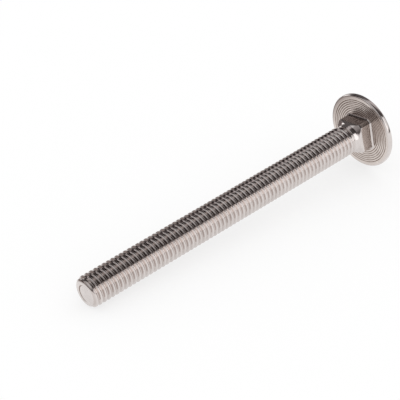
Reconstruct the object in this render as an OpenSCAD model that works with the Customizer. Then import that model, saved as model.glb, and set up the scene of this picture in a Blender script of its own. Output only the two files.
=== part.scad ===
// Carriage bolt, M8 x 90: a low domed head, a square neck that is drawn in to
// the shank, and a right-hand thread over the whole shank. One solid, in millimetres.
// It lies at rest: the rim of the head and the first crest touch the ground at Z = 0,
// the head is towards +X, and the origin is under the middle of its length.

/* [Thread] */
// Diameter over the thread crests
thread_d = 7.86; // [7.7:0.02:8]
// Distance from one crest to the next
pitch = 1.25; // [1.1:0.05:1.5]
// Depth of the thread, from crest to root
thread_depth = 0.7; // [0.5:0.02:0.74]
// Plain shank between the end of the thread and the neck
plain_l = 0.3; // [0.1:0.1:2]

/* [Length] */
// Length under the head, to the end of the thread
bolt_l = 90; // [40:0.5:100]

/* [Head] */
// Diameter of the head
head_d = 20; // [16:0.5:24]
// Height of the head over its seat
head_h = 4.6; // [3.6:0.1:5.4]
// Thickness of the rim of the head
rim_h = 1.4; // [1.1:0.1:1.8]
// Radius on both edges of the rim
rim_r = 0.45; // [0.2:0.05:0.5]

/* [Square neck] */
// Width of the neck across its flats
neck_w = 8; // [7.4:0.1:8.6]
// Diameter across its rounded corners
corner_d = 10.3; // [9.6:0.1:11]
// Length of its straight part
neck_l = 3.3; // [2:0.1:5]
// Length of the taper from the neck to the shank
taper_l = 2; // [1.5:0.1:3]
// Width that is left of each flat at the end of the taper
taper_flat = 1.6; // [1:0.1:3]
// Step from the end of the taper down to the shank
shoulder = 0.12; // [0.1:0.01:0.2]
// Size of the fillet where the neck meets the head
fillet = 0.45; // [0.3:0.05:0.8]
// Angle of the nearest corner from straight up, as the bolt lies
neck_turn = 35; // [0:0.2:90]

/* [Point] */
// Length of the rounded lead at the end of the thread
lead_l = 1.5; // [0.8:0.1:2]
// Diameter of the flat on the end of the bolt
end_d = 5; // [4:0.1:5.8]

/* [Hidden] */
$fn = 96;
steel = [0.74, 0.72, 0.71];

// Thread: flanks at 60 degrees to each other, with a flat crest and a flat root
steps = 18;
crest_r = thread_d / 2;
root_r = crest_r - thread_depth;
shank_r = crest_r - thread_depth / 2;
crest_w = pitch / 8;
flank_w = thread_depth * tan(30);
root_w = pitch - crest_w - 2 * flank_w;
shank_l = bolt_l - neck_l - taper_l;
// Height in one turn of the start and end of the root, then of the crest
rise = [0, root_w, root_w + flank_w, root_w + flank_w + crest_w];
// Height of the first root over the end of the bolt, straight up as it lies
first_root = -pitch / 4;
// Heights of the rings that round off the end of the bolt, and of what is over them
end_rings = [for (share = [0, 0.03, 0.08, 0.16]) share * lead_l];
screw_z = lead_l / 5;

// Neck: its end is a circle with four short flats
corner_r = corner_d / 2;
taper_z = bolt_l - neck_l;
taper_r = shank_r + shoulder;
taper_w = 2 * sqrt(pow(taper_r, 2) - pow(taper_flat / 2, 2));
flat_lean = atan((neck_w - taper_w) / 2 / taper_l);
// How far the neck runs on inside the head
sunk = rim_h / 2;

// Head: the dome runs tangent into the upper edge of the rim
edge_r = head_d / 2 - rim_r;
dome_rise = head_h - rim_h + rim_r;
dome_r = (pow(edge_r, 2) + pow(dome_rise, 2) - pow(rim_r, 2)) / (2 * (dome_rise - rim_r));
dome_a = asin(edge_r / (dome_r - rim_r));

// Resting place: the ground touches the rim and, underneath, the first crest
touch_z = pitch / 2 + first_root + rise[3];
rest_l = bolt_l + rim_r - touch_z;
rest_h = edge_r - lead(touch_z);
lie = atan(rest_h / rest_l) + asin(rim_r / norm([rest_l, rest_h]));
lift = edge_r * cos(lie) - (bolt_l + rim_r) * sin(lie) + rim_r;
dome_end = (bolt_l + head_h - dome_r) * cos(lie) + dome_r;
thread_end = -end_d / 2 * sin(lie);

// Outline of the end of the bolt: a flat, then a round lead up to the crests
function lead(z) = z >= lead_l ? crest_r
    : end_d / 2 + (crest_r - end_d / 2) * sqrt(1 - pow(1 - z / lead_l, 2));

// Share of the full thread at a height: it fades into the plain shank over a turn
function share(z) = min(1, max(0, (shank_l - plain_l - z) / pitch));

// The screw surface is laid out as columns of corners round the shank. Each column
// climbs the root, the flank, the crest and the next flank of every turn, and the
// last column joins the first one a turn higher up.
module thread() {
    turns = ceil(shank_l / pitch) + 1;
    rows = 4 * turns;
    rings = len(end_rings);
    function climb(col, row) =
        pitch * (floor(row / 4) - 1 + col / steps) + rise[row % 4] + first_root;
    function reach(z, row) =
        min(lead(max(0, z)), shank_r + share(z) * ((row % 4 < 2 ? root_r : crest_r) - shank_r));
    function at(col, z, r) = [r * cos(360 * col / steps), r * sin(360 * col / steps), z];
    // the first row of a column that clears the rounded end
    function first(col) = [for (row = [0:rows]) if (climb(col, row) > screw_z) row][0];
    function ring_id(col, ring) = ring * steps + col % steps;
    function id(col, row) =
        rings * steps + (col < steps ? col * (rows + 5) + row : row + 4);

    corners = concat(
        [for (ring = end_rings) for (col = [0:steps - 1]) at(col, ring, lead(ring))],
        [for (col = [0:steps - 1]) for (row = [0:rows + 4])
            let (z = climb(col, row)) at(col, z, reach(z, row))],
        [[0, 0, pitch * (turns + 1)]]);
    inside = len(corners) - 1;
    end_face = [[for (col = [0:steps - 1]) col]];
    rounding = [for (ring = [0:rings - 2]) for (col = [0:steps - 1]) for (half = [0, 1])
        half == 0
            ? [ring_id(col, ring), ring_id(col, ring + 1), ring_id(col + 1, ring + 1)]
            : [ring_id(col, ring), ring_id(col + 1, ring + 1), ring_id(col + 1, ring)]];
    start = [for (col = [0:steps - 1])
        let (low = col == steps - 1 ? first(0) - 4 : first(col + 1),
            high = first(col),
            foot = ring_id(col, rings - 1),
            next_foot = ring_id(col + 1, rings - 1))
        for (face = concat(
            [[foot, id(col + 1, low), next_foot]],
            [for (row = [low:1:high - 1]) [foot, id(col + 1, row + 1), id(col + 1, row)]],
            [[foot, id(col, high), id(col + 1, high)]])) face];
    screw = [for (col = [0:steps - 1]) for (row = [first(col):rows - 1]) for (half = [0, 1])
        half == 0
            ? [id(col, row), id(col, row + 1), id(col + 1, row + 1)]
            : [id(col, row), id(col + 1, row + 1), id(col + 1, row)]];
    hidden_end = concat(
        [for (col = [0:steps - 1]) [inside, id(col + 1, rows), id(col, rows)]],
        [for (row = [rows:rows + 3]) [inside, id(0, row), id(0, row + 1)]]);
    polyhedron(corners, concat(end_face, rounding, start, screw, hidden_end), convexity = 10);
}

// Square neck: the corners are rounded, and flats and corners are drawn in to the shank
module neck() {
    difference() {
        intersection() {
            translate([-neck_w / 2, -neck_w / 2, shank_l])
                cube([neck_w, neck_w, taper_l + neck_l + sunk]);
            rotate_extrude()
                polygon([
                    [0, shank_l],
                    [taper_r, shank_l],
                    [corner_r, taper_z],
                    [corner_r, bolt_l + rim_h],
                    [0, bolt_l + rim_h]]);
        }
        for (side = [0:90:270])
            rotate([0, 0, side])
                translate([neck_w / 2, -neck_w, taper_z])
                rotate([0, flat_lean, 0])
                translate([0, 0, -2 * taper_l])
                cube([neck_w, 2 * neck_w, 2 * taper_l]);
    }
}

// Fillet between the neck and the seat: a hollow curve round flats and corners alike, in
// short slopes. Each slope crosses the next and runs on inside the neck and the head.
module neck_fillet() {
    n = 4;
    run_on = fillet / 4;
    flare = [for (i = [0:n]) fillet * (1 - cos(90 * i / n))];
    level = [for (i = [0:n]) bolt_l - fillet * (1 - sin(90 * i / n))];
    function out(i, z) =
        flare[i] + (z - level[i]) * (flare[i + 1] - flare[i]) / (level[i + 1] - level[i]);
    function foot(i) = level[i] - run_on;
    function top(i) = bolt_l + (n - i) * run_on;
    intersection() {
        for (i = [0:n - 1])
            translate([0, 0, foot(i)])
            linear_extrude(top(i) - foot(i),
                scale = (neck_w + 2 * out(i, top(i))) / (neck_w + 2 * out(i, foot(i))))
            square(neck_w + 2 * out(i, foot(i)), center = true);
        let (low = foot(0) - run_on, high = top(n - 1) + run_on / 4, wide = corner_r + out(n - 1, high))
        rotate_extrude()
            polygon(concat(
                [[0, low], [corner_r + out(0, low), low]],
                [for (i = [1:n - 1]) [corner_r + flare[i], level[i]]],
                [[wide, high], [wide, top(0) + run_on], [0, top(0) + run_on]]));
    }
}

// Head: a flat seat, a rim with two rounded edges and a low dome
module head() {
    edge_n = 6;
    dome_n = 20;
    lower_edge = [for (i = [0:edge_n]) let (a = 90 * (i / edge_n - 1))
        [edge_r + rim_r * cos(a), bolt_l + rim_r + rim_r * sin(a)]];
    upper_edge = [for (i = [0:edge_n]) let (a = (90 - dome_a) * i / edge_n)
        [edge_r + rim_r * cos(a), bolt_l + rim_h - rim_r + rim_r * sin(a)]];
    dome = [for (i = [1:dome_n]) let (a = dome_a * (1 - i / dome_n))
        [dome_r * sin(a), bolt_l + head_h - dome_r + dome_r * cos(a)]];
    rotate_extrude() polygon(concat([[0, bolt_l]], lower_edge, upper_edge, dome));
}

module carriage_bolt() {
    color(steel)
    translate([-(dome_end + thread_end) / 2, 0, lift])
    rotate([0, 90 - lie, 0])
    rotate([0, 0, 180]) {
        thread();
        rotate([0, 0, neck_turn - 45]) {
            neck();
            neck_fillet();
        }
        head();
    }
}

carriage_bolt();
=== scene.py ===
"""Looks of the carriage bolt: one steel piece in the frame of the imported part.

Lengths are in millimetres in the bolt's own frame until the mesh is written in metres.
In that frame Z runs along the bolt from its end to its head, X is straight up as it
lies and Y is towards the camera. Rings of corners run anticlockwise round Z.
"""
import math

import bpy
import numpy as np
from mathutils import Matrix, Vector


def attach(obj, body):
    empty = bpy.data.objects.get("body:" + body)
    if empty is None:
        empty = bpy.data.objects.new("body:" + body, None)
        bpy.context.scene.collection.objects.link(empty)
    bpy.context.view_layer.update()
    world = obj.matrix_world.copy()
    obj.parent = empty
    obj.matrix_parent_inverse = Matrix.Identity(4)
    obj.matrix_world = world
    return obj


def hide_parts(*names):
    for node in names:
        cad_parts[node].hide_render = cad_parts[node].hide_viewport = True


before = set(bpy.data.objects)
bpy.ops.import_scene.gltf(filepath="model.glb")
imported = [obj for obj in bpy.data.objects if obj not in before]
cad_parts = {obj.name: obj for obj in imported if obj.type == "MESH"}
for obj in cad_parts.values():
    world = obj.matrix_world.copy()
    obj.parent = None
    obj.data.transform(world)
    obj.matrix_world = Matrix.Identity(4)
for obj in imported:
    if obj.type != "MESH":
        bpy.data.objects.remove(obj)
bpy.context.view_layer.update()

# ---------------------------------------------------------------- sizes of the bolt
MM = 0.001
CREST_R = 3.93            # thread, over the crests
PITCH = 1.25
THREAD_DEPTH = 0.7
HALF_ANGLE = math.radians(30)    # between a flank of the thread and the plane across it
PLAIN_L = 0.3             # plain shank between thread and neck
BOLT_L = 90.0
HEAD_R = 10.0
HEAD_H = 4.6
RIM_H = 1.4
RIM_R = 0.45              # rounding of both edges of the rim
NECK_W = 8.0
CORNER_R = 5.15
NECK_L = 3.3
TAPER_L = 2.0
TAPER_FLAT = 1.6          # what is left of a flat at the end of the taper
SHOULDER = 0.12           # how far the taper's end stands out from the shank
FILLET = 0.45
NECK_TURN = math.radians(35)
LEAD_L = 1.5              # length of the rounding at the end
END_R = 2.5

# finish of the edges, finer than in the part's source
SHOULDER_L = 0.17         # length of the soft step between shank and taper
NECK_EDGE_R = 0.16        # rounding between a flat and a corner of the neck
CORNER_START = 0.45       # share of the taper's length after which its corners rise
CORNER_LEAST = 0.06       # how far the corners of the taper stand out at the least
HOLLOW_DEPTH = 0.06       # hollow in the end face, a little off its middle
HOLLOW_R = 2.38
HOLLOW_X, HOLLOW_Y = 0.15, 0.5
HOLLOW_STEP = 0.16        # width of the step round it
HOLLOW_MARGIN = 0.12      # width over which it ends at the edge of the face
RING_PITCH = 0.56         # turned rings on the seat
RING_DEPTH = 0.05
RING_WIDTH = 0.36
RING_IN, RING_OUT = 4.5, 9.15
RING_IN_FADE, RING_OUT_FADE = 0.15, 0.2
RING_EVEN = 0.75          # share of their depth that doesn't waver
RING_WAVE, RING_PHASE = 3.1, 0.7
SEAT_BAND = 0.3           # from the fillet at a corner to the first full circle of the seat
FOOT_FADE = 0.2           # width over which the rings begin outside the fillet
RUN_OUT_GAP = 0.03        # from the end of the thread to the ring that closes it
THREAD_GAP = 0.004        # least distance from the thread's corners to the rings at its ends

# how finely the mesh is divided
THREAD_N = 84                    # corners round the end and the thread
QUARTER = (10, 5, 18, 5, 10)     # round the rest: half flat, edge, corner, edge, half flat
END_SHARES = (0.25, 0.45, 0.58, 0.66, 0.7, 0.74, 0.78, 0.82, 0.86, 0.9, 0.94, 0.97)
LEAD_DEGREES = (0, 5, 10, 15, 20, 25)
SHOULDER_ROWS = 4
TAPER_ROWS = 10
STRAIGHT_ROWS = 7
FILLET_ROWS = 8
FOOT_ROWS = 20
SEAT_ROWS = 49
RIM_ROWS = 8
DOME_ROWS = 26

# what follows from the sizes
ROOT_R = CREST_R - THREAD_DEPTH
SHANK_R = CREST_R - THREAD_DEPTH / 2
CREST_W = PITCH / 8
FLANK_W = THREAD_DEPTH * math.tan(HALF_ANGLE)
ROOT_W = PITCH - CREST_W - 2 * FLANK_W
FIRST_ROOT = -PITCH / 4 + ROOT_W / 2
SHANK_L = BOLT_L - NECK_L - TAPER_L
TAPER_END = SHANK_L + TAPER_L
TAPER_R = SHANK_R + SHOULDER
TAPER_W = 2 * math.sqrt(TAPER_R ** 2 - (TAPER_FLAT / 2) ** 2)
EDGE_R = HEAD_R - RIM_R
DOME_RISE = HEAD_H - RIM_H + RIM_R
DOME_R = (EDGE_R ** 2 + DOME_RISE ** 2 - RIM_R ** 2) / (2 * (DOME_RISE - RIM_R))
DOME_A = math.asin(EDGE_R / (DOME_R - RIM_R))


def clamp(share):
    return min(1.0, max(0.0, share))


def smooth(share):
    return share * share * (3 - 2 * share)


def lead(z):
    """Outline of the rounded end of the bolt."""
    if z >= LEAD_L:
        return CREST_R
    return END_R + (CREST_R - END_R) * math.sqrt(1 - (1 - z / LEAD_L) ** 2)


# where it lies: on the rim of its head and on its first crest
TOUCH_Z = PITCH / 2 - PITCH / 4 + ROOT_W + FLANK_W + CREST_W
REST_L = BOLT_L + RIM_R - TOUCH_Z
REST_H = EDGE_R - lead(TOUCH_Z)
LIE = math.atan(REST_H / REST_L) + math.asin(RIM_R / math.hypot(REST_L, REST_H))
LIFT = EDGE_R * math.cos(LIE) - (BOLT_L + RIM_R) * math.sin(LIE) + RIM_R
DOME_END = (BOLT_L + HEAD_H - DOME_R) * math.cos(LIE) + DOME_R
THREAD_END = -END_R * math.sin(LIE)
MIDDLE = (DOME_END + THREAD_END) / 2


def bolt_matrix():
    """From the bolt's own frame to the shared one."""
    s, c = math.sin(LIE), math.cos(LIE)
    return Matrix(((-s, 0, c, -MIDDLE), (0, -1, 0, 0), (c, 0, s, LIFT), (0, 0, 0, 1)))


# ---------------------------------------------------------------- mesh of the bolt
class Shell:
    """Corners and faces of the bolt's skin, with the finish of each face."""

    def __init__(self):
        self.points, self.faces, self.slots = [], [], []

    def add(self, points):
        """Adds corners and returns their numbers."""
        first = len(self.points)
        self.points.extend(points)
        return list(range(first, len(self.points)))

    def face(self, ids, slot):
        self.faces.append(ids)
        self.slots.append(slot)

    def strip(self, low, high, slot):
        """Joins two rings with as many corners."""
        n = len(low)
        for i in range(n):
            j = (i + 1) % n
            self.face((low[i], low[j], high[j], high[i]), slot)

    def grow(self, ring, points, slot):
        """Adds a ring of corners, joins it to the ring below and returns it."""
        new = self.add(points)
        self.strip(ring, new, slot)
        return new

    def angles(self, ring):
        return [math.atan2(self.points[i][1], self.points[i][0]) for i in ring]

    def join_by_angle(self, low, high, slot):
        """Joins two rings that differ in their corners."""
        a, b = self.angles(low), self.angles(high)
        start = min(range(len(b)), key=lambda k: abs(math.remainder(b[k] - a[0], math.tau)))
        high, b = high[start:] + high[:start], b[start:] + b[:start]
        a = [a[0] + (x - a[0]) % math.tau for x in a] + [a[0] + math.tau]
        b = [b[0] + (x - b[0]) % math.tau for x in b] + [b[0] + math.tau]
        b = [x + math.remainder(b[0] - a[0], math.tau) - (b[0] - a[0]) for x in b]
        i = j = 0
        n, m = len(low), len(high)
        while i < n or j < m:
            if j == m or (i < n and a[i + 1] <= b[j + 1]):
                self.face((low[i % n], low[(i + 1) % n], high[j % m]), slot)
                i += 1
            else:
                self.face((low[i % n], high[(j + 1) % m], high[j % m]), slot)
                j += 1


def circle(radius, z, n):
    return [(radius * math.cos(math.tau * i / n), radius * math.sin(math.tau * i / n), z)
            for i in range(n)]


def hollow(x, y):
    """Depth of the hollow in the end face."""
    step = (HOLLOW_R - math.hypot(x - HOLLOW_X, y - HOLLOW_Y)) / HOLLOW_STEP
    edge = (END_R - math.hypot(x, y)) / HOLLOW_MARGIN
    return HOLLOW_DEPTH * clamp(step) * clamp(edge)


def add_end(shell):
    """The end face and the start of its rounding. Returns the last ring."""
    n = THREAD_N
    rings = []
    for share in END_SHARES:
        rings.append(shell.add([(x, y, hollow(x, y)) for x, y, _ in circle(END_R * share, 0, n)]))
    flat = len(rings)
    for degrees in LEAD_DEGREES:
        a = math.radians(degrees)
        rings.append(shell.add(circle(END_R + (CREST_R - END_R) * math.sin(a),
                                      LEAD_L * (1 - math.cos(a)), n)))
    middle = shell.add([(0, 0, hollow(0, 0))])[0]
    first = rings[0]
    for i in range(n):
        shell.face((middle, first[(i + 1) % n], first[i]), "end")
    for k in range(flat):
        shell.strip(rings[k + 1][::-1], rings[k][::-1], "end")
    for k in range(flat, len(rings) - 1):
        shell.strip(rings[k], rings[k + 1], "end")
    return rings[-1]


def thread_profile():
    """Steps along the bolt and radii of one turn, from root to root, with round crest and root."""
    crest = CREST_W / 2 / math.tan(HALF_ANGLE)
    root = ROOT_W / 2 / math.tan(HALF_ANGLE)
    at_root = [(root * math.sin(a), ROOT_R + root * (1 - math.cos(a)))
               for a in map(math.radians, (0, 30, 60))]
    at_crest = [(PITCH / 2 + crest * math.sin(a), CREST_R - crest * (1 - math.cos(a)))
                for a in map(math.radians, (-60, -30, 0))]
    (z0, r0), (z1, r1) = at_root[-1], at_crest[0]
    up = at_root + [((z0 + z1) / 2, (r0 + r1) / 2)] + at_crest
    down = [(PITCH - z, r) for z, r in up[-2:0:-1]]
    return up + down


def add_thread(shell, low_ring):
    """The helical thread, up to the plain shank. Returns the ring at its top.

    Its corners stand in columns along the bolt, and rows climb one pitch in a turn, so
    triangles fill the steps between neighbouring columns at both ends.
    """
    n = THREAD_N
    z_low = shell.points[low_ring[0]][2]
    fade_end = SHANK_L - PLAIN_L
    z_high = fade_end + RUN_OUT_GAP
    high_ring = shell.add(circle(SHANK_R, z_high, n))

    profile = thread_profile()
    rows = len(profile)
    base = FIRST_ROOT - PITCH

    def height(col, row):
        return base + PITCH * (row // rows + col / n) + profile[row % rows][0]

    def radius(z, row):
        share = smooth(clamp((fade_end - z) / PITCH))
        return min(lead(z), SHANK_R + share * (profile[row % rows][1] - SHANK_R))

    total = rows * (int(SHANK_L / PITCH) + 4)
    lattice, begin, end = [], [], []
    for col in range(n):
        span = [row for row in range(total)
                if z_low + THREAD_GAP < height(col, row) < z_high - THREAD_GAP]
        begin.append(span[0])
        end.append(span[-1])
        angle = math.tau * col / n
        points = []
        for row in span:
            z = height(col, row)
            r = radius(z, row)
            points.append((r * math.cos(angle), r * math.sin(angle), z))
        lattice.append(shell.add(points))

    def at(col, row):
        if col == n:
            col, row = 0, row + rows
        return lattice[col][row - begin[col]]

    def span_of(col):
        return (begin[col], end[col]) if col < n else (begin[0] - rows, end[0] - rows)

    for i in range(n):
        (a0, b0), (a1, b1) = span_of(i), span_of(i + 1)
        j = (i + 1) % n
        shell.face((low_ring[i], low_ring[j], at(i + 1, a1)), "thread")
        for row in range(a1, a0):
            shell.face((low_ring[i], at(i + 1, row), at(i + 1, row + 1)), "thread")
        shell.face((low_ring[i], at(i + 1, a0), at(i, a0)), "thread")
        for row in range(a0, b1):
            shell.face((at(i, row), at(i + 1, row), at(i + 1, row + 1), at(i, row + 1)), "thread")
        shell.face((at(i, b1), at(i + 1, b1), high_ring[j]), "thread")
        for row in range(b1, b0):
            shell.face((at(i, row), high_ring[j], at(i, row + 1)), "thread")
        shell.face((at(i, b0), high_ring[j], high_ring[i]), "thread")
    return high_ring


def neck_outline(width, corner_r):
    """Corners of a square with rounded corners and soft edges, each with its outward normal."""
    e = NECK_EDGE_R
    w, c = width / 2 - e, corner_r - e
    half = math.sqrt(c * c - w * w)
    lean = math.atan2(half, w)
    n_flat, n_edge, n_corner, _, _ = QUARTER
    quarter = []
    for i in range(n_flat):
        quarter.append((w + e, half * i / n_flat, 0.0))
    for i in range(n_edge):
        a = lean * i / n_edge
        quarter.append((w + e * math.cos(a), half + e * math.sin(a), a))
    for i in range(n_corner):
        a = lean + (math.pi / 2 - 2 * lean) * i / n_corner
        quarter.append(((c + e) * math.cos(a), (c + e) * math.sin(a), a))
    for i in range(n_edge):
        a = math.pi / 2 - lean + lean * i / n_edge
        quarter.append((half + e * math.cos(a), w + e * math.sin(a), a))
    for i in range(n_flat):
        quarter.append((half * (1 - i / n_flat), w + e, math.pi / 2))
    outline = []
    for k in range(4):
        turn = NECK_TURN - math.pi / 4 + k * math.pi / 2
        ct, st = math.cos(turn), math.sin(turn)
        for x, y, a in quarter:
            outline.append((x * ct - y * st, x * st + y * ct,
                            math.cos(a + turn), math.sin(a + turn)))
    return outline


def raised(outline, z, out=0.0):
    """An outline at a height, moved out along its normals."""
    return [(x + out * nx, y + out * ny, z) for x, y, nx, ny in outline]


def around(foot, r, z):
    """A circle at a height, with its corners at the angles of the neck's foot."""
    return [(x / math.hypot(x, y) * r, y / math.hypot(x, y) * r, z) for x, y in foot]


def add_neck(shell, low_ring):
    """Soft shoulder, taper, square neck and fillet. Returns the last ring and the foot."""
    start = neck_outline(TAPER_W, TAPER_R)
    z = SHANK_L - SHOULDER_L
    ring = shell.add([(SHANK_R * x / math.hypot(x, y), SHANK_R * y / math.hypot(x, y), z)
                      for x, y, _, _ in start])
    shell.join_by_angle(low_ring, ring, "thread")
    for i in range(1, SHOULDER_ROWS + 1):
        share = i / SHOULDER_ROWS
        points = []
        for x, y, _, _ in start:
            full = math.hypot(x, y)
            k = (SHANK_R + (full - SHANK_R) * smooth(share)) / full
            points.append((x * k, y * k, z + SHOULDER_L * share))
        ring = shell.grow(ring, points, "neck")
    for i in range(1, TAPER_ROWS + 1):
        share = i / TAPER_ROWS
        width = TAPER_W + (NECK_W - TAPER_W) * share
        rise = max(0.0, (share - CORNER_START) / (1 - CORNER_START))
        corner_r = max(width / 2 + CORNER_LEAST, TAPER_R + (CORNER_R - TAPER_R) * rise)
        outline = neck_outline(width, corner_r)
        ring = shell.grow(ring, raised(outline, SHANK_L + TAPER_L * share), "neck")
    square = neck_outline(NECK_W, CORNER_R)
    for z in np.linspace(TAPER_END, BOLT_L - FILLET, STRAIGHT_ROWS + 1)[1:]:
        ring = shell.grow(ring, raised(square, float(z)), "neck")
    for i in range(1, FILLET_ROWS + 1):
        a = math.pi / 2 * i / FILLET_ROWS
        points = raised(square, BOLT_L - FILLET * (1 - math.sin(a)), FILLET * (1 - math.cos(a)))
        ring = shell.grow(ring, points, "neck")
    foot = [(x + FILLET * nx, y + FILLET * ny) for x, y, nx, ny in square]
    return ring, foot


def ring_depth(r):
    """Depth of the turned rings on the seat at a radius."""
    if r < RING_IN or r > RING_OUT:
        return 0.0
    ends = min(1.0, (r - RING_IN) / RING_IN_FADE, (RING_OUT - r) / RING_OUT_FADE)
    off = abs((r - RING_IN) % RING_PITCH - RING_PITCH / 2) / (RING_WIDTH / 2)
    uneven = RING_EVEN + (1 - RING_EVEN) * math.sin(r * RING_WAVE + RING_PHASE)
    return RING_DEPTH * ends * uneven * max(0.0, 1 - off)


def add_seat(shell, ring, foot):
    """Underside of the head with its turned rings, first out to a full circle."""
    circle_r = CORNER_R + FILLET + SEAT_BAND
    for i in range(1, FOOT_ROWS + 1):
        points = []
        for x, y in foot:
            r0 = math.hypot(x, y)
            r = r0 + (circle_r - r0) * i / FOOT_ROWS
            soft = min(1.0, (r - r0) / FOOT_FADE)
            points.append((x / r0 * r, y / r0 * r, BOLT_L + ring_depth(r) * soft))
        ring = shell.grow(ring, points, "seat")
    for r in map(float, np.linspace(circle_r, EDGE_R, SEAT_ROWS + 1)[1:]):
        ring = shell.grow(ring, around(foot, r, BOLT_L + ring_depth(r)), "seat")
    return ring


def add_dome(shell, ring, foot):
    """Rim with two round edges, then the dome."""
    for i in range(1, RIM_ROWS + 1):
        a = math.pi / 2 * (i / RIM_ROWS - 1)
        z = BOLT_L + RIM_R + RIM_R * math.sin(a)
        ring = shell.grow(ring, around(foot, EDGE_R + RIM_R * math.cos(a), z), "dome")
    for i in range(RIM_ROWS + 1):
        a = (math.pi / 2 - DOME_A) * i / RIM_ROWS
        z = BOLT_L + RIM_H - RIM_R + RIM_R * math.sin(a)
        ring = shell.grow(ring, around(foot, EDGE_R + RIM_R * math.cos(a), z), "dome")
    for i in range(1, DOME_ROWS):
        a = DOME_A * (1 - i / DOME_ROWS)
        z = BOLT_L + HEAD_H - DOME_R + DOME_R * math.cos(a)
        ring = shell.grow(ring, around(foot, DOME_R * math.sin(a), z), "dome")
    apex = shell.add([(0, 0, BOLT_L + HEAD_H)])[0]
    n = len(ring)
    for i in range(n):
        shell.face((ring[i], ring[(i + 1) % n], apex), "dome")


def bolt_shell():
    """The whole skin, from the end face to the top of the dome."""
    shell = Shell()
    ring = add_end(shell)
    ring = add_thread(shell, ring)
    ring, foot = add_neck(shell, ring)
    ring = add_seat(shell, ring, foot)
    add_dome(shell, ring, foot)
    return shell


# ---------------------------------------------------------------- nodes
class Graph:
    """The nodes of a material or of the world, with short calls for the kinds that recur.

    A value given to one of them is a plain one or the socket that it comes from.
    """

    def __init__(self, owner):
        owner.use_nodes = True
        self.nodes, self.links = owner.node_tree.nodes, owner.node_tree.links

    def fill(self, node, values):
        for key, value in values.items():
            if isinstance(value, bpy.types.NodeSocket):
                self.links.new(value, node.inputs[key])
            else:
                node.inputs[key].default_value = value
        return node

    def node(self, kind, values):
        return self.fill(self.nodes.new(kind), values)

    def math(self, operation, value, other=0.0):
        node = self.nodes.new("ShaderNodeMath")
        node.operation = operation
        return self.fill(node, {0: value, 1: other}).outputs[0]

    def vector_math(self, operation, *values):
        node = self.nodes.new("ShaderNodeVectorMath")
        node.operation = operation
        return self.fill(node, dict(enumerate(values)))

    def product(self, first, *others):
        result = first
        for value in others:
            result = self.math("MULTIPLY", result, value)
        return result

    def remap(self, value, start, end, low, high, way="LINEAR"):
        """From low, where the value is at start, to high, where it is at end."""
        node = self.nodes.new("ShaderNodeMapRange")
        node.interpolation_type = way
        self.fill(node, {"Value": value, "From Min": start, "From Max": end,
                         "To Min": low, "To Max": high})
        return node.outputs["Result"]

    def fade(self, value, start, end, low, high):
        return self.remap(value, start, end, low, high, "SMOOTHSTEP")

    def rise(self, value, start, end):
        return self.fade(value, start, end, 0.0, 1.0)

    def fall(self, value, start, end):
        return self.fade(value, start, end, 1.0, 0.0)

    def mix(self, factor, first, second, way="MIX"):
        """Mixes two colours."""
        node = self.nodes.new("ShaderNodeMix")
        node.data_type = "RGBA"
        node.blend_type = way
        return self.fill(node, {"Factor": factor, "A": first, "B": second}).outputs["Result"]

    def blend(self, factor, first, second):
        """Mixes two shaders."""
        return self.node("ShaderNodeMixShader", {0: factor, 1: first, 2: second}).outputs[0]


class SteelGraph(Graph):
    """The nodes of a steel material, which know the place on the bolt in its own frame."""

    def __init__(self, name):
        self.material = bpy.data.materials.new(name)
        super().__init__(self.material)
        self.shader = self.nodes["Principled BSDF"]
        self.shader.inputs["Metallic"].default_value = 1.0
        attribute = self.nodes.new("ShaderNodeAttribute")
        attribute.attribute_name = "bolt_mm"
        self.place = attribute.outputs["Vector"]

    def source(self, name):
        """The socket that feeds an input of the shader."""
        return self.shader.inputs[name].links[0].from_socket

    def feed(self, value, name):
        self.links.new(value, self.shader.inputs[name])

    def noise(self, scale, detail=2.0, stretch=(1, 1, 1)):
        place = self.vector_math("MULTIPLY", self.place, stretch).outputs[0]
        node = self.node("ShaderNodeTexNoise", {"Scale": scale, "Detail": detail, "Vector": place})
        return node.outputs["Fac"]

    def blotches(self, scale, start, end, least, most):
        return self.fade(self.noise(scale), start, end, least, most)

    def along(self, axis):
        """Place along one of the bolt's own axes, in mm."""
        return self.node("ShaderNodeSeparateXYZ", {0: self.place}).outputs[axis]

    def radius(self, x=0.0, y=0.0):
        """Distance from the axis of the bolt, or from a line beside it, in mm."""
        flat = self.vector_math("MULTIPLY_ADD", self.place, (1, 1, 0), (-x, -y, 0))
        return self.vector_math("LENGTH", flat.outputs[0]).outputs["Value"]

    def tint(self, factor, colour, way="MIX"):
        """Lays a colour over the base colour."""
        self.feed(self.mix(factor, self.source("Base Color"), (*colour, 1), way), "Base Color")

    def roughen(self, amount):
        self.feed(self.math("ADD", self.source("Roughness"), amount), "Roughness")


# ---------------------------------------------------------------- materials
STEEL = (0.74, 0.69, 0.67)
STEEL_DARK = (0.66, 0.61, 0.59)
SEAT_STEEL = (0.77, 0.70, 0.66)
SEAT_DARK = (0.69, 0.62, 0.58)
# brown of the painted shade line on the end face, and of the seat's ring bottoms: there partly
# painted shade of the grooves, partly brown oxide
SHADE_AND_DEPOSIT_BROWN = (0.20, 0.14, 0.11)
# painted shade in the roots of the thread
ROOT_SHADE = (0.82, 0.79, 0.775)
# painted shade on the neck's flats
FLAT_SHADE = (0.65, 0.63, 0.62)
# painted shade on the upper corners of the neck's taper
CORNER_SHADE = (0.52, 0.49, 0.49)
MARK_TINT = (0.8, 0.79, 0.78)

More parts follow.
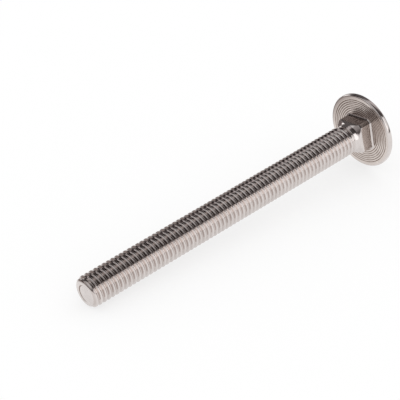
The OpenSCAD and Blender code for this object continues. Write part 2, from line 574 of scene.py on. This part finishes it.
# for each part of the skin: name, its two tones, roughness and its spread, grains per mm
# and the strength of their relief
FINISHES = {
    "end": ("steel_cut_end", STEEL, STEEL_DARK, 0.24, 0.05, 5.2, 0.4),
    "thread": ("steel_rolled_thread", STEEL, STEEL_DARK, 0.1, 0.03, 4.2, 0.2),
    "neck": ("steel_forged_neck", STEEL, STEEL_DARK, 0.13, 0.03, 3.6, 0.4),
    "seat": ("steel_turned_seat", SEAT_STEEL, SEAT_DARK, 0.22, 0.05, 3.6, 0.4),
    "dome": ("steel_smooth_dome", STEEL, STEEL_DARK, 0.13, 0.03, 3.0, 0.2),
}
CLOUD_SCALE, CLOUD_DETAIL = 0.26, 4.0     # slow change of tone; scales of noise are per mm
GRAIN_DETAIL = 6.0
GRAIN_HEIGHT = 0.02
NOISE_LOW, NOISE_HIGH = 0.3, 0.7          # the range of the noise that is used

# where the painted shades and the marks set in and are full, or begin to thin out and end
SHADE_LINE_R = HOLLOW_R - 0.06                  # painted shade line in the step round the hollow
SHADE_LINE_HALF = (0.05, 0.24)                  # from the middle of the line outwards
SHADE_LINE_RIM = (END_R - 0.45, END_R - 0.1)
SHADE_LINE_SIDE = (-0.6, 0.9)                   # along Y
ROOT_SHADE_R = (ROOT_R + 0.15, CREST_R - 0.1)
FLAT_SHADE_START_Z = (TAPER_END - 0.1, BOLT_L - 0.6)
FLAT_SHADE_END_Z = (BOLT_L - FILLET, BOLT_L - FILLET + 0.1)
FLAT_SHADE_SIDE = (1.0, 2.8, 0.2, 1.0)          # along Y, and how strong the painted shade is on each side
CORNER_SHADE_A = (0.2, 0.32)               # round the bolt from a corner, in radians
CORNER_SHADE_START_Z = (SHANK_L + 0.5, SHANK_L + 0.8)
CORNER_SHADE_END_Z = (TAPER_END - 0.25, TAPER_END + 0.05)
CORNER_SHADE_SIDE = (0.0, 2.0)             # along X
RING_SIDE = (0.5 - RING_WIDTH / RING_PITCH / 2, 0.44)     # share of a ring's pitch
RING_RIM = (RING_OUT - 0.25, RING_OUT)
MARKS = (0.56, 0.7)                       # values of the noise

# blotches: scale, the two values of the noise, and how strong the darkening is at each
SHADE_LINE_BLOTCHES = (0.45, 0.3, 0.6, 0.5, 0.95)
ROOT_SHADE_BLOTCHES = (0.5, 0.3, 0.7, 0.75, 1.0)
RING_BLOTCHES = (0.7, 0.3, 0.6, 0.7, 1.0)

RING_ROUGHER = 0.12                       # added roughness in the turned rings
MARK_ROUGHER = 0.06                       # added roughness and tint in the handling marks
MARK_DEPTH = 0.3
NECK_STREAKS = (0.7, 0.7, 6.0)            # how close the marks lie along each axis
DOME_STREAKS = (0.6, 5.0, 1.0)


def steel(name, colour, dark, roughness, spread, grain, bump):
    """Stainless steel: a slightly uneven tone, patches of rougher metal and fine grain."""
    g = SteelGraph(name)
    tone = g.nodes.new("ShaderNodeValToRGB")
    low, high = tone.color_ramp.elements
    low.position, low.color = NOISE_LOW, (*dark, 1)
    high.position, high.color = NOISE_HIGH, (*colour, 1)
    g.fill(tone, {"Fac": g.noise(CLOUD_SCALE, CLOUD_DETAIL)})
    g.feed(tone.outputs["Color"], "Base Color")
    fine = g.noise(grain, GRAIN_DETAIL)
    g.feed(g.remap(fine, NOISE_LOW, NOISE_HIGH, roughness - spread, roughness + spread),
           "Roughness")
    relief = g.node("ShaderNodeBump",
                    {"Strength": bump, "Distance": GRAIN_HEIGHT * MM, "Height": fine})
    g.feed(relief.outputs["Normal"], "Normal")
    return g


# painted shade on one side of the end face's step
def add_end_shade_line(g):
    """Painted shade: a thin dark line in the step round the hollow of the end face, on one side of
    it.
    """
    off = g.math("ABSOLUTE", g.math("SUBTRACT", g.radius(HOLLOW_X, HOLLOW_Y), SHADE_LINE_R))
    line = g.product(g.fall(off, *SHADE_LINE_HALF), g.fall(g.radius(), *SHADE_LINE_RIM),
                     g.fall(g.along("Y"), *SHADE_LINE_SIDE), g.blotches(*SHADE_LINE_BLOTCHES))
    g.tint(line, SHADE_AND_DEPOSIT_BROWN)


def add_root_shade(g):
    """Painted shade in the roots of the thread: a brown darkening in blotches that fades out
    towards the crests.
    """
    shade = g.product(g.fall(g.radius(), *ROOT_SHADE_R), g.blotches(*ROOT_SHADE_BLOTCHES))
    g.tint(shade, ROOT_SHADE, "MULTIPLY")


def add_flat_shade(g):
    """Painted shade on the flats of the neck against its taper, strongest on the side towards the
    camera.
    """
    z = g.along("Z")
    darkened = g.product(g.rise(z, *FLAT_SHADE_START_Z), g.fall(z, *FLAT_SHADE_END_Z),
                     g.fade(g.along("Y"), *FLAT_SHADE_SIDE))
    g.tint(darkened, FLAT_SHADE, "MULTIPLY")


def add_corner_shade(g):
    """Painted shade on the taper, on the slopes of the neck's upper corners."""
    z = g.along("Z")
    angle = g.math("ARCTAN2", g.along("Y"), g.along("X"))
    off = g.math("PINGPONG", g.math("SUBTRACT", angle, NECK_TURN), math.pi / 4)
    shade = g.product(g.fall(off, *CORNER_SHADE_A), g.rise(z, *CORNER_SHADE_START_Z),
                     g.fall(z, *CORNER_SHADE_END_Z), g.rise(g.along("X"), *CORNER_SHADE_SIDE))
    g.tint(shade, CORNER_SHADE, "MULTIPLY")


def add_seat_rings(g):
    """Darkens the bottoms of the turned rings on the seat with brown, partly as painted shade of
    the grooves and partly as brown oxide in them, and roughens them.
    """
    r = g.radius()
    turns = g.math("DIVIDE", g.math("SUBTRACT", r, RING_IN), RING_PITCH)
    groove = g.product(g.rise(g.math("PINGPONG", turns, 0.5), *RING_SIDE),
                       g.fall(r, *RING_RIM), g.blotches(*RING_BLOTCHES))
    g.tint(groove, SHADE_AND_DEPOSIT_BROWN)
    g.roughen(g.product(groove, RING_ROUGHER))


def add_handling_marks(g, stretch):
    """Faint streaks from handling, a little rougher and a little darker."""
    marks = g.rise(g.noise(1.0, stretch=stretch), *MARKS)
    g.roughen(g.product(marks, MARK_ROUGHER))
    g.tint(g.product(marks, MARK_DEPTH), MARK_TINT, "MULTIPLY")


def bolt_materials():
    """The finish of each part of the skin."""
    finish = {part: steel(*values) for part, values in FINISHES.items()}
    add_end_shade_line(finish["end"])
    add_root_shade(finish["thread"])
    add_flat_shade(finish["neck"])
    add_corner_shade(finish["neck"])
    add_handling_marks(finish["neck"], NECK_STREAKS)
    add_seat_rings(finish["seat"])
    add_handling_marks(finish["dome"], DOME_STREAKS)
    return {part: g.material for part, g in finish.items()}


def make_bolt():
    shell = bolt_shell()
    mesh = bpy.data.meshes.new("bolt_steel")
    place = bolt_matrix()
    mesh.from_pydata([place @ Vector(p) * MM for p in shell.points], [], shell.faces)
    own = mesh.attributes.new("bolt_mm", "FLOAT_VECTOR", "POINT")
    own.data.foreach_set("vector", [v for p in shell.points for v in p])
    materials = bolt_materials()
    order = list(materials)
    for key in order:
        mesh.materials.append(materials[key])
    mesh.polygons.foreach_set("material_index", [order.index(s) for s in shell.slots])
    mesh.polygons.foreach_set("use_smooth", [True] * len(mesh.polygons))
    mesh.update()
    bolt = bpy.data.objects.new("bolt_steel", mesh)
    bpy.context.collection.objects.link(bolt)
    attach(bolt, "root")
    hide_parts("carriage_bolt")
    return bolt


# ---------------------------------------------------------------- floor
WHITE = (1, 1, 1, 1)
FLOOR_SIZE = 6.0          # m
FLOOR_GLOW = 0.7          # share of plain white in the floor, as the camera and metal see it
DULL_START, DULL_FULL = 14.0, 28.0     # from here back the metal sees a duller floor, in mm
DULL_FLOOR = (0.32, 0.28, 0.27)


def floor_material():
    """White paper that keeps the bolt's shadow. Behind the bolt the metal sees it duller."""
    material = bpy.data.materials.new("white_floor")
    g = Graph(material)
    g.nodes.clear()
    path = g.nodes.new("ShaderNodeLightPath").outputs
    seen = g.math("MAXIMUM", path["Is Camera Ray"], path["Is Glossy Ray"])
    seen = g.math("MAXIMUM", seen, path["Is Transmission Ray"])
    paper = g.node("ShaderNodeBsdfDiffuse", {"Color": WHITE})
    glow = g.node("ShaderNodeEmission", {"Color": WHITE, "Strength": 1.0})
    floor = g.blend(g.product(seen, FLOOR_GLOW), paper.outputs[0], glow.outputs[0])
    place = g.nodes.new("ShaderNodeTexCoord").outputs["Object"]
    back = g.node("ShaderNodeSeparateXYZ", {0: place}).outputs["Y"]
    behind = g.rise(back, DULL_START * MM, DULL_FULL * MM)
    in_metal = g.product(behind, path["Is Glossy Ray"])
    darkened = g.node("ShaderNodeEmission", {"Color": (*DULL_FLOOR, 1), "Strength": 1.0})
    surface = g.blend(in_metal, floor, darkened.outputs[0])
    g.node("ShaderNodeOutputMaterial", {"Surface": surface})
    return material


def make_floor():
    mesh = bpy.data.meshes.new("floor")
    h = FLOOR_SIZE / 2
    mesh.from_pydata([(-h, -h, 0), (h, -h, 0), (h, h, 0), (-h, h, 0)], [], [(0, 1, 2, 3)])
    mesh.materials.append(floor_material())
    floor = bpy.data.objects.new("floor", mesh)
    bpy.context.collection.objects.link(floor)


# ---------------------------------------------------------------- light
TENT = (0.57, 0.53, 0.53)    # level of the light tent between its cards
BLACK = (0.027, 0.02, 0.02)
DARK = (0.06, 0.05, 0.05)

# cards of the light tent, each over the ones before it: azimuth, elevation, half width
# and width of its soft edge, in degrees, and level
CARDS = [
    (307, 6, 46, 13, (0.10, 0.08, 0.08)),    # dark card in front, on the right
    (92, -11, 31, 11, (1.45, 1.45, 1.45)),   # low lamp behind the bolt
    (114, 43, 29, 6, BLACK),                 # black card behind, over the low lamp
    (125, -12, 24, 6, BLACK),                # black card behind, on the left
    (180, 31, 35, 5, (0.14, 0.12, 0.12)),    # dark card on the left
    (172, 40, 24, 34, (0.71, 0.71, 0.71)),   # pale card on the left, higher
    (271, 61, 37, 14, DARK),                 # dark card overhead, in front
    (254, 29, 30, 8, (1.12, 1.12, 1.12)),    # large lamp on the camera's side
    (287, 24, 24, 6, (1.49, 1.48, 1.48)),    # bright lamp, in front on the right
    (242, 51, 21, 25, (0.08, 0.07, 0.07)),   # dark card over the camera
    (52, 29, 27, 10, (0.11, 0.10, 0.10)),    # dark card behind, on the right
    (315, 25, 12, 7, (0.93, 0.93, 0.93)),    # small lamp on the right
]


def toward(azimuth, elevation):
    a, e = math.radians(azimuth), math.radians(elevation)
    return (math.cos(e) * math.cos(a), math.cos(e) * math.sin(a), math.sin(e))


def make_world():
    """A white surround, in which only the metal sees the cards of the light tent."""
    world = bpy.data.worlds.new("light_tent")
    bpy.context.scene.world = world
    g = Graph(world)
    g.nodes.clear()
    direction = g.nodes.new("ShaderNodeTexCoord").outputs["Generated"]
    colour = (*TENT, 1)
    for azimuth, elevation, half, soft, level in CARDS:
        dot = g.vector_math("DOT_PRODUCT", direction, toward(azimuth, elevation))
        outer = math.cos(math.radians(half + soft / 2))
        inner = math.cos(math.radians(half - soft / 2))
        card = g.rise(dot.outputs["Value"], outer, inner)
        colour = g.mix(card, colour, (*level, 1))
    in_metal = g.nodes.new("ShaderNodeLightPath").outputs["Is Glossy Ray"]
    colour = g.mix(in_metal, WHITE, colour)
    light = g.node("ShaderNodeBackground", {"Color": colour, "Strength": 1.0})
    g.node("ShaderNodeOutputWorld", {"Surface": light.outputs[0]})


# ---------------------------------------------------------------- camera
# fitted to the outline of the bolt in the photo; the place is in mm
CAMERA_PLACE = Vector((-200.463, -210.340, 205.795))
CAMERA_RIGHT = Vector((0.745363, -0.666658, 0.0))
CAMERA_UP = Vector((0.375354, 0.419668, 0.826431))
CAMERA_LOOK = Vector((0.550947, 0.615991, -0.563038))
CAMERA_SENSOR = 36.0
CAMERA_LENS = 131.43
CAMERA_NEAR, CAMERA_FAR = 0.01, 20.0     # m


def make_camera():
    camera = bpy.data.objects.new("camera", bpy.data.cameras.new("camera"))
    bpy.context.collection.objects.link(camera)
    right, up, back, place = CAMERA_RIGHT, CAMERA_UP, -CAMERA_LOOK, CAMERA_PLACE * MM
    camera.matrix_world = Matrix((
        (right.x, up.x, back.x, place.x),
        (right.y, up.y, back.y, place.y),
        (right.z, up.z, back.z, place.z),
        (0, 0, 0, 1)))
    camera.data.sensor_width = CAMERA_SENSOR
    camera.data.lens = CAMERA_LENS
    camera.data.clip_start = CAMERA_NEAR
    camera.data.clip_end = CAMERA_FAR
    bpy.context.scene.camera = camera


make_bolt()
make_floor()
make_world()
make_camera()
bpy.context.scene.view_settings.view_transform = "Standard"
